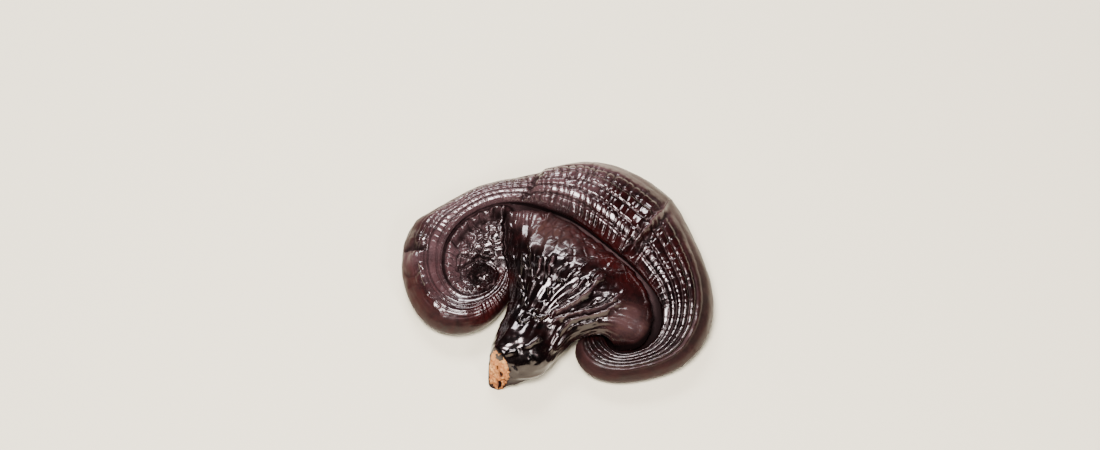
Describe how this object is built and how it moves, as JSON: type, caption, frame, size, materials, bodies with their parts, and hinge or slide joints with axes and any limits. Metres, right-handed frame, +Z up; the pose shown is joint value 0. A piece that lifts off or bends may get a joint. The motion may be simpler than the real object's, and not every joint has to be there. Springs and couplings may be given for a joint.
{
  "type": "dried reishi mushroom",
  "caption": "Dried reishi mushroom lying flat: a kidney-shaped lacquered cap with curled lobes and growth rings, on a short cut stem.",
  "frame": {"origin": "under the middle of the bounding box, on the surface that the mushroom rests on", "axes": "+X along the cap's width, towards the lobe that is further from the stem; +Y from the stem's cut end towards the back of the cap; +Z up"},
  "size_m": [0.1216, 0.0956, 0.0278],
  "materials": {
    "cap_crust": "glossy black-red natural lacquer with dust in the grooves",
    "stem_crust": "glossy black natural lacquer",
    "pores": "matte brown pore surface",
    "cut_flesh": "matte, fibrous and crumbly cut flesh"
  },
  "bodies": {
    "root": {"cap": "cap_crust", "stem": "stem_crust"}
  },
  "joints": []
}
